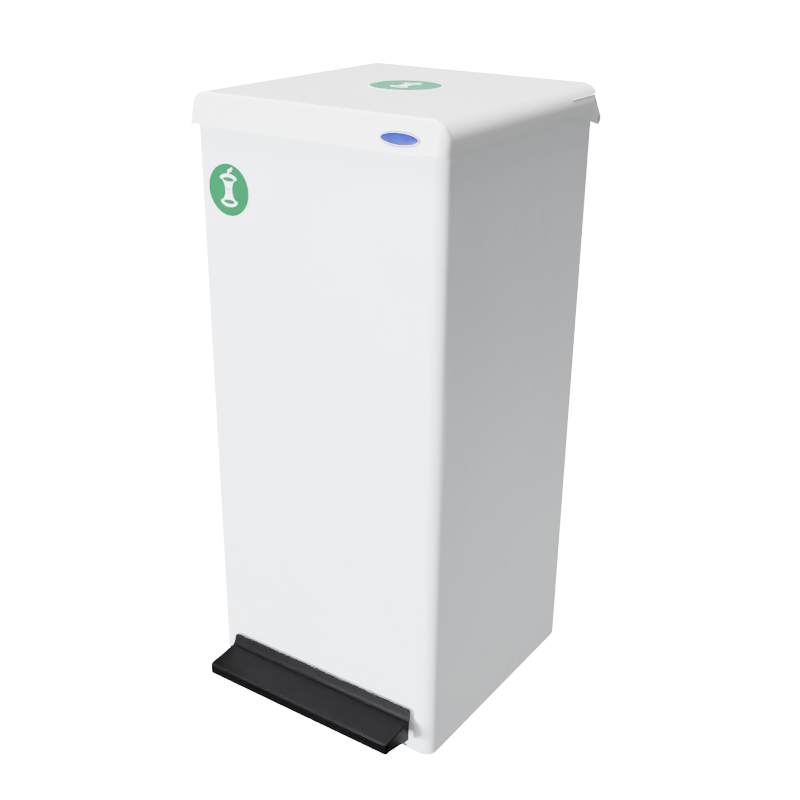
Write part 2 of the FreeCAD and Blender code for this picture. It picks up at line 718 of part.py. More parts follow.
def make_axle():
    """Axle with its sleeve, washers and clips, and the two brackets on the floor pan."""
    ring("pedal_sleeve", "-pedal_arm_inner", "sleeve_radius", "axle_radius + pin_play",
         "2 * pedal_arm_inner", "axle_y", "axle_height")
    bracket_inner = "pedal_arm_outer + axle_bracket_wall"
    bracket_outer = f"{bracket_inner} + axle_bracket_wall"
    axle_end = f"{bracket_outer} + axle_stub"
    ring("pedal_axle", f"-({axle_end})", "axle_radius", None, f"2 * ({axle_end})", "axle_y", "axle_height")
    lug = [
        ("axle_y - axle_bracket_depth / 2", "pan_top"),
        ("axle_y + axle_bracket_depth / 2", "pan_top"),
        ("axle_y + axle_bracket_depth / 2", "axle_height + pedal_arm_boss", "pedal_arm_boss"),
        ("axle_y - axle_bracket_depth / 2", "axle_height + pedal_arm_boss", "pedal_arm_boss"),
    ]
    for side, sign in SIDES.items():
        body = new_body(f"axle_bracket_{side}")
        stretch = side_range(sign, bracket_inner, "axle_bracket_wall")
        add(body, "YZ", [lug], *stretch)
        foot = plate_outline(*side_range(sign, bracket_inner, "axle_bracket_foot"),
                             "axle_y - axle_bracket_depth / 2", "axle_y + axle_bracket_depth / 2")
        add(body, "XY", [foot], "pan_top", "pan_top + axle_bracket_wall")
        cut(body, "YZ", [("axle_y", "axle_height", "axle_radius")], *stretch)
        washer = side_range(sign, "pedal_arm_outer + rest_gap", "axle_bracket_wall - rest_gap")
        ring(f"axle_washer_{side}", washer[0], "washer_radius", "axle_radius",
             "(axle_bracket_wall - rest_gap)", "axle_y", "axle_height")
        clip = side_range(sign, bracket_outer, "clip_wall")
        ring(f"axle_clip_{side}", clip[0], "clip_radius", "axle_radius", "clip_wall", "axle_y", "axle_height")


def make_lever_pad():
    """Rubber pad on the floor pan just under the resting lever."""
    body = new_body("lever_rest_pad")
    reach = "(lever_arm - pad_inset)"
    lever_low = f"axle_height - {reach} * tan(lever_drop) - lever_half_height / cos(lever_drop)"
    add(body, "XY", [("0", f"axle_y + {reach}", "pad_radius")], "pan_top",
        f"{lever_low} - pad_radius * tan(lever_drop) - rest_gap")


# ---- lift rod ----

def make_lift_rod():
    """Round rod with both ends bent sideways, through the lever's slot and the crank's eye."""
    body = new_body("lift_rod", y="rod_y")
    path = new_sketch(body, "XZ", "0")
    line = [
        ("-rod_tail", "rod_low"),
        ("rod_offset", "rod_low", "rod_bend"),
        ("rod_offset", "rod_high", "rod_bend"),
        ("-rod_tail", "rod_high"),
    ]
    draw_path(path, line)
    ring_sketch = new_sketch(body, "YZ", "-rod_tail")
    draw(ring_sketch, [("0", "rod_low", "rod_radius")])
    pipe = body.newObject("PartDesign::AdditivePipe", "lift_rod_pipe")
    pipe.Profile = ring_sketch
    pipe.Spine = path
    doc.recompute()
    for name, height in (("low", "rod_low"), ("high", "rod_high")):
        ring(f"rod_clip_{name}", "-rod_tail + clip_wall", "rod_clip_radius", "rod_radius",
             "clip_wall", "rod_y", height)


def draw_path(sketch, corners):
    """Draw an open run of lines with rounded bends between its first and last points."""
    first, second, third, last = [FreeCAD.Vector(number(c[0]), number(c[1]), 0) for c in corners]
    bend = number(corners[1][2])
    along = FreeCAD.Vector(1, 0, 0) * bend
    rise = FreeCAD.Vector(0, 1, 0) * bend
    corner_middle = (FreeCAD.Vector(1, -1, 0) * bend) * (1 / math.sqrt(2))
    low_centre = second - along + rise
    high_centre = third - along - rise
    low_run = sketch.addGeometry(Part.LineSegment(first, second - along))
    upright = sketch.addGeometry(Part.LineSegment(second + rise, third - rise))
    high_run = sketch.addGeometry(Part.LineSegment(third - along, last))
    low_bend = sketch.addGeometry(Part.Arc(second - along, low_centre + corner_middle, second + rise))
    flipped = FreeCAD.Vector(corner_middle.x, -corner_middle.y, 0)
    high_bend = sketch.addGeometry(Part.Arc(third - rise, high_centre + flipped, third - along))
    pin_point(sketch, low_run, 1, corners[0][0], corners[0][1])
    pin_point(sketch, high_run, 2, corners[3][0], corners[3][1])
    for line, kind in ((low_run, "Horizontal"), (upright, "Vertical"), (high_run, "Horizontal")):
        sketch.addConstraint(Sketcher.Constraint(kind, line))
    for one, one_end, other, other_end in ((low_run, 2, low_bend, 1), (low_bend, 2, upright, 1),
                                           (upright, 2, high_bend, 1), (high_bend, 2, high_run, 1)):
        sketch.addConstraint(Sketcher.Constraint("Tangent", one, one_end, other, other_end))
    offset = sketch.addConstraint(Sketcher.Constraint("DistanceX", -1, 1, upright, 1, second.x))
    bind(sketch, f"Constraints[{offset}]", corners[1][0])
    for arc in (low_bend, high_bend):
        radius = sketch.addConstraint(Sketcher.Constraint("Radius", arc, bend))
        bind(sketch, f"Constraints[{radius}]", corners[1][2])


# ---- discs and badge ----

def make_decals():
    """Thin round decals on the front panel and on the lid."""
    front = new_body("front_decal")
    disc = ("front_decal_inset - half_width", "body_top - front_decal_drop", "front_decal_radius")
    add(front, "XZ", [disc], "-half_depth - decal_sheet", "-half_depth")
    top = new_body("lid_decal")
    add(top, "XY", [("0", "lid_decal_back", "lid_decal_radius")], "lid_top", "lid_top + decal_sheet")


def make_badge():
    """Plain oval plate on the lid's leaning front flange."""
    oval = doc.addObject("Part::Ellipse", "badge_oval")
    bind(oval, "MajorRadius", "badge_width / 2")
    bind(oval, "MinorRadius", "badge_height / 2")
    plate = doc.addObject("Part::Extrusion", "badge")
    plate.Base = oval
    plate.Dir = FreeCAD.Vector(0, 0, 1)
    plate.Solid = True
    bind(plate, "LengthFwd", "badge_depth")
    plate.Placement.Rotation = FreeCAD.Rotation(FreeCAD.Vector(1, 0, 0), 90)
    sub_part(plate, "badge", x="half_width - badge_inset", z="lid_top - badge_drop",
             y="(-lid_half_depth + lid_slope_inset - badge_drop * tan(lid_lean))")
    bind(plate, "Placement.Rotation.Angle", "90 - lid_lean")


def make_everything():
    fill_sheet()
    make_body_shell()
    make_back_panel()
    make_top_rim()
    make_base_pan()
    make_liner_shelf()
    make_inner_liner()
    make_feet()
    make_back_rivets()
    make_lid_shell()
    make_hinge_arms()
    make_lid_crank()
    make_lid_bumpers()
    make_hinge_rod()
    make_pedal_tread()
    make_pedal_arms()
    make_pedal_lever()
    make_axle()
    make_lever_pad()
    make_lift_rod()
    make_decals()
    make_badge()
    doc.recompute()


def check_document():
    """Stop before anything is written if an object failed or a sub-part's shape is not sound."""
    for thing in doc.Objects:
        if "Invalid" in thing.State or "Error" in thing.State:
            raise RuntimeError(f"{thing.Label} failed: {thing.State}")
    for part in sub_parts:
        if part.Shape.isNull() or not part.Shape.isValid():
            raise RuntimeError(f"{part.Label} has no sound shape")
        if len(part.Shape.Solids) != 1:
            raise RuntimeError(f"{part.Label} has {len(part.Shape.Solids)} solids")


make_everything()
check_document()
os.makedirs("parts", exist_ok=True)
for part in sub_parts:
    part.Shape.exportStep(f"parts/{part.Label}.step")
print(len(sub_parts), "sub-parts")
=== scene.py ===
"""A step-on waste bin of painted sheet steel: its finishes, its formed sheets and its small fittings."""
import json
import math

import bmesh
import bpy
from mathutils import Matrix, Vector

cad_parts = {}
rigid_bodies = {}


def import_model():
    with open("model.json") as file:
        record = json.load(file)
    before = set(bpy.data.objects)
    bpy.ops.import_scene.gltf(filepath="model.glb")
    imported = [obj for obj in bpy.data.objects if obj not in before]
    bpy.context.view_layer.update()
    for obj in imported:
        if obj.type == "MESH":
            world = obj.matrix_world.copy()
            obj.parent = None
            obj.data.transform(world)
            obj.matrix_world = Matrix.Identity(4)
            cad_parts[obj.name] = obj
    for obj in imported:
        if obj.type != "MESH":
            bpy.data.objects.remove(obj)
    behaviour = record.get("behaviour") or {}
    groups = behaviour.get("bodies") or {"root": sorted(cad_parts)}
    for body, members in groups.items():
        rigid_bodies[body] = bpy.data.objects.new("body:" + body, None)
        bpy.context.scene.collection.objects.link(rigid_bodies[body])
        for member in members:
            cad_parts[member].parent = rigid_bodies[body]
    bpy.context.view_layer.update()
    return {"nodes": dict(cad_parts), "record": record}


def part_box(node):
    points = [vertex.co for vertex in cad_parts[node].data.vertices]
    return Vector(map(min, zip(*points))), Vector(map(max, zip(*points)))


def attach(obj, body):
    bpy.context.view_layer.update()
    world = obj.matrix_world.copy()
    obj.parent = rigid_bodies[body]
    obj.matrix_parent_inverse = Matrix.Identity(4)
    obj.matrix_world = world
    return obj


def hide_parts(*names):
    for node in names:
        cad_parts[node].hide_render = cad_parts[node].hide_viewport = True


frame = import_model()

MM = 0.001
SLOT_OF = {row["node"]: row["material_slot"] for row in frame["record"]["subparts"]}
BODY_OF = {node: body for body, nodes in frame["record"]["behaviour"]["bodies"].items() for node in nodes}
SIDES = ("left", "right")


# ---- camera, floor and light ----

def set_camera():
    """Stands at the front right, a little above the lid."""
    lens = bpy.data.cameras.new("camera")
    lens.lens = 51.55
    lens.shift_x = 0.0073
    lens.shift_y = -0.0012
    camera = bpy.data.objects.new("camera", lens)
    bpy.context.scene.collection.objects.link(camera)
    turn = Matrix.Rotation(math.radians(34.37), 4, "Z")
    tilt = Matrix.Rotation(math.radians(90 - 23.10), 4, "X")
    roll = Matrix.Rotation(math.radians(0.545), 4, "Z")
    camera.matrix_world = Matrix.Translation((0.8343, -1.2040, 1.0525)) @ turn @ tilt @ roll
    bpy.context.scene.camera = camera


def set_lights():
    """A wide soft light overhead, a softer one from the front left, and a dim even room."""
    def lamp(name, kind, energy, colour, aim, **settings):
        light = bpy.data.lights.new(name, kind)
        light.energy = energy
        light.color = colour
        for key, value in settings.items():
            setattr(light, key, value)
        holder = bpy.data.objects.new(name, light)
        bpy.context.scene.collection.objects.link(holder)
        holder.rotation_euler = Vector(aim).to_track_quat("-Z", "Y").to_euler()
        return holder
    lamp("overhead", "SUN", 21.0, (1.0, 0.995, 0.985), (0.22, 0.12, -1.0), angle=math.radians(42))
    lamp("front", "SUN", 24.0, (0.90, 0.93, 1.0), (0.34, 1.0, -0.05), angle=math.radians(18))
    low = lamp("low_right", "AREA", 3.0, (1.0, 1.0, 1.0), (-1.0, 0.0, 0.1), shape="RECTANGLE",
               size=0.9, size_y=0.2)
    low.location = (0.8, 0.1, 0.12)
    low.visible_camera = False
    room = bpy.data.worlds.new("room")
    room.use_nodes = True
    bpy.context.scene.world = room
    room.node_tree.nodes["Background"].inputs["Color"].default_value = (0.96, 0.98, 1.0, 1.0)
    room.node_tree.nodes["Background"].inputs["Strength"].default_value = 0.40


# ---- finishes ----

class Wire:
    """A node's output that adds a Math node for each sign it meets."""

    def __init__(self, finish, socket):
        self.finish = finish
        self.socket = socket

    def maths(self, operation, *values):
        return self.finish.node("ShaderNodeMath", {"operation": operation}, dict(enumerate(values)))

    def __add__(self, other):
        return self.maths("ADD", self, other)

    def __sub__(self, other):
        return self.maths("SUBTRACT", self, other)

    def __rsub__(self, other):
        return self.maths("SUBTRACT", other, self)

    def __mul__(self, other):
        return self.maths("MULTIPLY", self, other)

    __radd__ = __add__
    __rmul__ = __mul__


class Finish:
    """A material built round one Principled shader, on Object coordinates."""

    def __init__(self, name, sockets):
        self.material = bpy.data.materials.new(name)
        self.material.use_nodes = True
        self.tree = self.material.node_tree
        self.shader = self.tree.nodes["Principled BSDF"]
        for socket, value in sockets.items():
            self.shader.inputs[socket].default_value = value
        self.place = self.node("ShaderNodeTexCoord", out="Object")

    def node(self, kind, settings=None, sockets=None, out=0):
        """Add a node: its settings first, then values or wires on its sockets."""
        made = self.tree.nodes.new(kind)
        for key, value in (settings or {}).items():
            setattr(made, key, value)
        for key, value in (sockets or {}).items():
            self.feed(made.inputs[key], value)
        return Wire(self, made.outputs[out])

    def feed(self, socket, value):
        if isinstance(value, Wire):
            self.tree.links.new(value.socket, socket)
        else:
            socket.default_value = value

    def wear(self, **wires):
        """Feed the shader's varying sockets: base_color=..., roughness=..., normal=..."""
        for name, wire in wires.items():
            self.feed(self.shader.inputs[name.replace("_", " ").title()], wire)
        return self.material

    def noise(self, scale, detail=2.0, rough=0.5, stretch=(1, 1, 1), shift=(0, 0, 0), warp=0.0):
        where = self.node("ShaderNodeMapping", None, {
            "Vector": self.place, "Location": shift, "Scale": stretch})
        return self.node("ShaderNodeTexNoise", None, {
            "Vector": where, "Scale": scale, "Detail": detail, "Roughness": rough, "Distortion": warp})

    def cells(self, scale, feature="F1", stretch=(1, 1, 1), out="Distance"):
        where = self.node("ShaderNodeMapping", None, {"Vector": self.place, "Scale": stretch})
        return self.node("ShaderNodeTexVoronoi", {"feature": feature}, {
            "Vector": where, "Scale": scale}, out)

    def ease(self, value, low, high, to_low=0.0, to_high=1.0):
        """Carry a stretch of values onto another, held at its ends."""
        return self.node("ShaderNodeMapRange", {"interpolation_type": "SMOOTHSTEP"}, {
            "Value": value, "From Min": low, "From Max": high, "To Min": to_low, "To Max": to_high})

    def blend(self, factor, first, second):
        return self.node("ShaderNodeMix", {"data_type": "RGBA"}, {
            0: factor, 6: (*first, 1.0) if isinstance(first, tuple) else first,
            7: (*second, 1.0) if isinstance(second, tuple) else second}, 2)

    def bump(self, height, depth, strength=1.0, under=None):
        """Dent the surface by a height from 0 to 1, depth in metres."""
        sockets = {"Height": height, "Distance": depth, "Strength": strength}
        if under:
            sockets["Normal"] = under
        return self.node("ShaderNodeBump", None, sockets)

    def height(self, axis="Z"):
        return self.node("ShaderNodeSeparateXYZ", None, {0: self.place}, axis)


def powder_coat(name, low_tone, high_tone):
    """White coat on sheet steel: orange peel, a sheet a little out of flat, faint handling."""
    coat = Finish(name, {"Coat Roughness": 0.14, "Coat IOR": 1.4, "IOR": 1.45, "Specular IOR Level": 0.4})
    cloud = coat.ease(coat.noise(7.0, 3.0), 0.35, 0.65)
    handled = coat.noise(26.0, 4.0, 0.62, warp=0.6)
    peel = coat.noise(520.0, 2.0, 0.55)
    sheet = coat.noise(4.5, 1.0, 0.4, stretch=(1.0, 1.0, 0.7))
    fine = coat.noise(1900.0, 1.0)
    scuff = coat.ease(coat.noise(34.0, 5.0, 0.75, stretch=(1.0, 1.0, 0.25)), 0.66, 0.78)
    low = coat.ease(coat.height(), 0.0, 0.12, 1.0, 0.0)
    worn = scuff * low * 0.5
    base = coat.blend(cloud, low_tone, high_tone)
    base = coat.blend(coat.ease(handled, 0.55, 0.8) * 0.18, base, (0.74, 0.74, 0.735))
    base = coat.blend(worn, base, (0.50, 0.49, 0.47))
    rough = 0.25 + 0.08 * coat.ease(handled, 0.3, 0.75) + 0.05 * fine + 0.2 * worn
    skin = coat.bump(sheet, 1.3 * MM, 0.55)
    skin = coat.bump(peel, 0.045 * MM, 0.55, skin)
    return coat.wear(base_color=base, roughness=rough, coat_weight=0.30 - 0.10 * handled, normal=skin)


def black_coat():
    """Semi-gloss black coat with a rubbed middle, hairline scratches and a little dust."""
    coat = Finish("black_pedal_coat", {"Coat Roughness": 0.25, "IOR": 1.42, "Specular IOR Level": 0.045})
    peel = coat.noise(640.0, 2.0, 0.5)
    rub = coat.ease(coat.noise(30.0, 4.0, 0.6, stretch=(0.5, 1.4, 1.0)), 0.42, 0.72)
    hairs = coat.ease(coat.noise(90.0, 3.0, 0.7, stretch=(0.12, 6.0, 1.0), warp=0.4), 0.63, 0.70)
    hairs = hairs * coat.ease(coat.noise(14.0, 2.0), 0.45, 0.6)
    dust = coat.ease(coat.noise(700.0, 2.0, 0.8), 0.62, 0.75) * coat.ease(coat.noise(18.0, 3.0), 0.4, 0.7)
    base = coat.blend(rub * 0.6, (0.0010, 0.0010, 0.0011), (0.0017, 0.0017, 0.0019))
    base = coat.blend(dust * 0.02 + hairs * 0.02, base, (0.12, 0.115, 0.11))
    rough = 0.30 + 0.14 * rub + 0.18 * hairs + 0.05 * peel
    skin = coat.bump(peel, 0.05 * MM, 0.5)
    skin = coat.bump(hairs, 0.02 * MM, 0.4, skin)
    return coat.wear(base_color=base, roughness=rough, coat_weight=0.02 - 0.015 * rub, normal=skin)


def zinc_plate():
    """Bright zinc on mild steel: drawn grain, cloudy passivation and small dull spots."""
    zinc = Finish("bright_zinc", {"Anisotropic": 0.25})
    drawn = zinc.noise(160.0, 4.0, 0.7, stretch=(8.0, 1.0, 1.0))
    cloud = zinc.ease(zinc.noise(45.0, 3.0, 0.6), 0.35, 0.7)
    crystal = zinc.cells(190.0)
    spots = zinc.ease(zinc.noise(240.0, 3.0, 0.7), 0.66, 0.76)
    base = zinc.blend(cloud, (0.60, 0.61, 0.63), (0.70, 0.69, 0.66))
    base = zinc.blend(crystal * 0.25, base, (0.52, 0.54, 0.58))
    base = zinc.blend(spots * 0.5, base, (0.42, 0.41, 0.40))
    rough = 0.27 + 0.14 * drawn + 0.10 * cloud + 0.22 * spots
    skin = zinc.bump(drawn, 0.02 * MM, 0.5)
    return zinc.wear(base_color=base, metallic=1.0 - 0.25 * spots, roughness=rough, normal=skin)


def rubber():
    """Matt black rubber with a bloom of dust and a moulded grain."""
    made = Finish("black_rubber", {"IOR": 1.45, "Sheen Weight": 0.12})
    grain = made.noise(900.0, 2.0, 0.6)
    bloom = made.ease(made.noise(60.0, 4.0, 0.65), 0.4, 0.75)
    base = made.blend(bloom * 0.5, (0.018, 0.018, 0.018), (0.060, 0.058, 0.055))
    return made.wear(base_color=base, roughness=0.68 + 0.18 * bloom,
                     normal=made.bump(grain, 0.08 * MM, 0.6))


def liner_plastic():
    """Matt grey moulded plastic: spark texture, draw lines from the mould and rubbed streaks."""
    made = Finish("grey_liner_plastic", {"IOR": 1.49})
    spark = made.noise(1100.0, 2.0, 0.6)
    drawn = made.ease(made.noise(40.0, 4.0, 0.7, stretch=(1.0, 1.0, 0.06)), 0.5, 0.72)
    cloud = made.noise(11.0, 3.0)
    base = made.blend(cloud, (0.150, 0.158, 0.168), (0.180, 0.188, 0.198))
    base = made.blend(drawn * 0.45, base, (0.27, 0.275, 0.28))
    skin = made.bump(spark, 0.07 * MM, 0.6)
    return made.wear(base_color=base, roughness=0.46 + 0.2 * cloud + 0.1 * drawn, normal=skin)


def nylon():
    """Natural nylon, a little yellow, with turning marks."""
    made = Finish("natural_nylon", {"IOR": 1.53, "Subsurface Weight": 0.08})
    turned = made.noise(420.0, 2.0, 0.5, stretch=(6.0, 1.0, 1.0))
    cloud = made.noise(70.0, 3.0)
    base = made.blend(cloud, (0.74, 0.72, 0.64), (0.82, 0.80, 0.74))
    return made.wear(base_color=base, roughness=0.36 + 0.14 * turned,
                     normal=made.bump(turned, 0.03 * MM, 0.5))


def printed_film(name, low, high):
    """Printed vinyl: a fine screen in the ink, a low sheen and a few lifted specks."""
    film = Finish(name, {"Coat Roughness": 0.12, "IOR": 1.45, "Specular IOR Level": 0.04})
    screen = film.cells(2600.0)
    patches = film.noise(60.0, 3.0, 0.6)
    speck = film.ease(film.noise(420.0, 2.0, 0.7), 0.66, 0.74)
    base = film.blend(film.ease(patches, 0.3, 0.7) * 0.7 + screen * 0.3, low, high)
    skin = film.bump(patches, 0.05 * MM, 0.5)
    skin = film.bump(speck, 0.03 * MM, 0.5, skin)
    return film.wear(base_color=base, roughness=0.30 + 0.12 * patches,
                     coat_weight=0.04 - 0.02 * speck, normal=skin)


def enamel(name, low, high):
    """Domed glossy enamel with a slow shift of depth and faint dust marks."""
    drop = Finish(name, {"Coat Roughness": 0.05, "Coat IOR": 1.5, "IOR": 1.5, "Specular IOR Level": 0.2})
    depth = drop.noise(90.0, 2.0, 0.5)
    marks = drop.ease(drop.noise(500.0, 3.0, 0.7), 0.62, 0.74)
    base = drop.blend(drop.ease(depth, 0.3, 0.7), low, high)
    return drop.wear(base_color=base, roughness=0.22 + 0.15 * marks, coat_weight=0.2 - 0.1 * marks,
                     normal=drop.bump(depth, 0.04 * MM, 0.4))


def studio_floor():
    """Plain pale floor, slightly mottled, that glows white like a lit studio sweep."""
    floor = Finish("pale_floor", {"IOR": 1.3, "Specular IOR Level": 0.1,
                                  "Emission Color": (1.0, 1.0, 1.0, 1.0), "Emission Strength": 20.0})
    mottle = floor.noise(3.0, 4.0, 0.6)
    base = floor.blend(mottle, (0.925, 0.93, 0.935), (0.945, 0.947, 0.95))
    return floor.wear(base_color=base, roughness=0.8 + 0.1 * mottle)


FINISHES = {
    "white_paint": powder_coat("white_powder_coat", (0.775, 0.785, 0.80), (0.800, 0.808, 0.822)),
    "black_pedal": black_coat(),
    "zinc_steel": zinc_plate(),
    "rubber": rubber(),
    "liner_plastic": liner_plastic(),
    "nylon": nylon(),
    "green_decal": printed_film("green_film", (0.0002, 0.088, 0.027), (0.0005, 0.100, 0.032)),
    "blue_badge": enamel("blue_enamel", (0.0001, 0.005, 0.12), (0.0002, 0.009, 0.16)),
}
# the lid's white coat is a darker copy of the body's white coat: painted shade that holds the lid top down
# under the overhead light
LID_COAT_PAINTED_SHADE = powder_coat("lid_powder_coat", (0.690, 0.692, 0.690), (0.715, 0.716, 0.714))
# the lid's disc has its own paler green: painted sheen, the lighter look of the overhead light seen at a
# grazing angle on the same film
SHEEN_PAINTED_FILM = printed_film("faded_green_film", (0.020, 0.150, 0.075), (0.028, 0.170, 0.088))
WHITE_INK = printed_film("white_ink", (0.84, 0.85, 0.85), (0.88, 0.885, 0.885))
WHITE_ENAMEL = enamel("white_enamel", (0.80, 0.82, 0.86), (0.86, 0.87, 0.90))


# ---- ways of making pieces ----

def mesh_from(name, points, faces):
    mesh = bpy.data.meshes.new(name)
    mesh.from_pydata([tuple(point) for point in points], [], faces)
    mesh.validate()
    return mesh


def outward(mesh):
    """Turn every face of a closed mesh outwards."""
    shape = bmesh.new()
    shape.from_mesh(mesh)
    bmesh.ops.recalc_face_normals(shape, faces=shape.faces)
    shape.to_mesh(mesh)
    shape.free()
    return mesh


def hold(name, mesh):
    thing = bpy.data.objects.new(name, mesh)
    bpy.context.scene.collection.objects.link(thing)
    return thing


def settle(thing):
    """Turn an object's modifiers into plain mesh, smooth over its soft edges."""
    mesh = bpy.data.meshes.new_from_object(thing.evaluated_get(bpy.context.evaluated_depsgraph_get()))
    name = thing.name
    bpy.data.objects.remove(thing)
    plain = hold(name, mesh)
    plain.name = mesh.name = name
    return plain


def fit(piece, body, slot, *nodes, finish=None):
    """Give a piece its finish, the given one or else its slot's, put it on its body and hide the nodes that
    it stands for.
    """
    piece.data.materials.clear()
    piece.data.materials.append(finish or FINISHES[slot])
    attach(piece, body)
    if nodes:
        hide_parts(*nodes)
    return piece


def add_modifier(thing, kind, **settings):
    modifier = thing.modifiers.new(kind.lower(), kind)
    for key, value in settings.items():
        setattr(modifier, key, value)
    return modifier


def round_off(thing, width, segments=2, angle=32):
    """Break the sharp edges and let the flat faces keep their own shading."""
    add_modifier(thing, "BEVEL", width=width, segments=segments, limit_method="ANGLE",
                 angle_limit=math.radians(angle), use_clamp_overlap=True, miter_outer="MITER_ARC")
    for face in thing.data.polygons:
        face.use_smooth = True
    add_modifier(thing, "WEIGHTED_NORMAL", keep_sharp=True, weight=80)


def softened(node, width, segments=2, angle=32):
    """The node's own shape with its seams closed and its edges broken."""
    shape = bmesh.new()
    shape.from_mesh(frame["nodes"][node].data)
    bmesh.ops.remove_doubles(shape, verts=shape.verts, dist=2e-6)
    bmesh.ops.dissolve_limit(shape, angle_limit=math.radians(0.6), verts=shape.verts, edges=shape.edges)
    shape.verts.index_update()
    mesh = mesh_from(f"{node}_piece", [v.co for v in shape.verts],
                     [[v.index for v in face.verts] for face in shape.faces])
    shape.free()
    piece = hold(f"{node}_piece", mesh)
    round_off(piece, width, segments, angle)
    return fit(settle(piece), BODY_OF[node], SLOT_OF[node], node)


def prism(name, outline, place, low, high):
    """Closed solid between two ends: place(a, b, t) sets an outline's corner at end t."""
    count = len(outline)
    points = [place(a, b, t) for t in (low, high) for a, b in outline]
    faces = [list(range(count - 1, -1, -1)), list(range(count, 2 * count))]
    faces += [[i, (i + 1) % count, (i + 1) % count + count, i + count] for i in range(count)]
    return outward(mesh_from(name, points, faces))


def along_x(y, z, x):
    return (x, y, z)


def along_y(x, z, y):
    return (x, y, z)


def carve(thing, *cutters):
    """Take cutters out of a piece."""
    for mesh in cutters:
        tool = hold("cutter", mesh)
        add_modifier(thing, "BOOLEAN", operation="DIFFERENCE", solver="EXACT", object=tool)
    plain = settle(thing)
    for tool in [one for one in bpy.data.objects if one.name.startswith("cutter")]:
        bpy.data.objects.remove(tool)
    return plain


def formed_box(name, corners, radii, wall):
    """Open-bottomed sheet box: eight corners, each edge rounded by its own radius, then walled inward.

    Corners run (low x, low y), (high x, low y), (high x, high y), (low x, high y), the bottom four first.
    Radii name an edge by its two corners.
    """
    faces = [(4, 5, 6, 7), (0, 1, 5, 4), (1, 2, 6, 5), (2, 3, 7, 6), (3, 0, 4, 7)]
    mesh = mesh_from(name, corners, faces)
    widest = max(radii.values())
    weights = mesh.attributes.new("bevel_weight_edge", "FLOAT", "EDGE")
    for edge in mesh.edges:
        weights.data[edge.index].value = radii.get(tuple(sorted(edge.vertices)), 0.0) / widest
    box = hold(name, mesh)
    add_modifier(box, "BEVEL", width=widest, segments=9, limit_method="WEIGHT", use_clamp_overlap=False)
    add_modifier(box, "SOLIDIFY", thickness=wall, offset=-1.0, use_even_offset=True)
    return settle(box)


# ---- lid ----

LID_WALL = 1.2 * MM
LID_SLOPE = 10.0 / 39.9
FRONT_BEND = 3.5 * MM
SIDE_ROLL = 24.0 * MM
REAR_BEND = 4.0 * MM
FRONT_CORNER = 14.0 * MM
REAR_CORNER = 16.0 * MM
FLANGE_DROP = 7 * MM
ARCH_START, ARCH_END, ARCH_RISE, ARCH_STEPS = 139.5 * MM, 53.5 * MM, 7 * MM, 24
FLANGE_END = 27.5 * MM
REAR_OPENING_INSET, REAR_OPENING_DROP, REAR_OPENING_LEAN = 31 * MM, 12.4 * MM, 9 * MM
OPENING_CHAMFER = 2 * MM
RELIEF_RISE, RELIEF_START, FRONT_RELIEF, SIDE_RELIEF = 1.5 * MM, 10 * MM, 17 * MM, 11 * MM
CLEAR = 10 * MM


